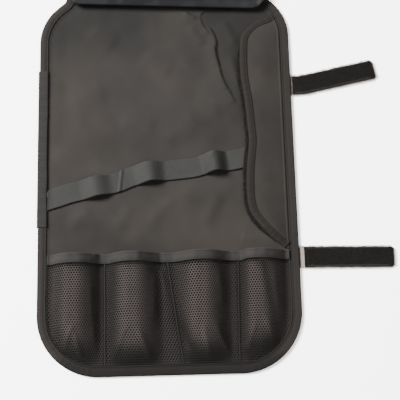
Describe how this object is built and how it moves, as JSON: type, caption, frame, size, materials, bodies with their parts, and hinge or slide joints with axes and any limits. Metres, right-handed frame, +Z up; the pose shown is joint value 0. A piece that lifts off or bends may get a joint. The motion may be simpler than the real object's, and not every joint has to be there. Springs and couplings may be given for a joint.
{
  "type": "chef knife roll",
  "caption": "Chef's knife roll of dark woven cloth lying open: mesh pockets, retaining strap, guard flap, folded top flap and hook-and-loop closure straps.",
  "frame": {"origin": "on the surface that the roll lies on, under the middle of the body", "axes": "+Z up off the panel's face, +Y from the pockets to the folded top flap, +X to the side of the closure straps"},
  "size_m": [0.4158, 0.51, 0.0224],
  "materials": {
    "nylon_panel": "matt woven nylon, dark brown grey",
    "binding_tape": "matt woven binding tape, dark grey",
    "ribbed_tape": "ribbed tape, dark grey",
    "strap_webbing": "close webbing, dark grey",
    "pocket_mesh": "knitted mesh, black",
    "hem_tape": "woven hem tape, near black",
    "loop_pile": "fuzzy loop pile, black",
    "closure_webbing": "nylon webbing, light grey brown"
  },
  "bodies": {
    "root": {"main_panel": "nylon_panel", "edge_binding": "binding_tape", "left_edge_tape": "ribbed_tape", "pocket_mesh_1": "pocket_mesh", "pocket_mesh_2": "pocket_mesh", "pocket_mesh_3": "pocket_mesh", "pocket_mesh_4": "pocket_mesh", "pocket_hem": "hem_tape", "guard_flap": "nylon_panel", "guard_flap_binding": "binding_tape", "guard_flap_pile": "loop_pile", "retaining_strap": "strap_webbing", "retaining_strap_pile": "loop_pile", "closure_strap_upper": "closure_webbing", "closure_pad_upper": "loop_pile", "closure_strap_lower": "closure_webbing", "closure_pad_lower": "loop_pile"}
  },
  "joints": []
}
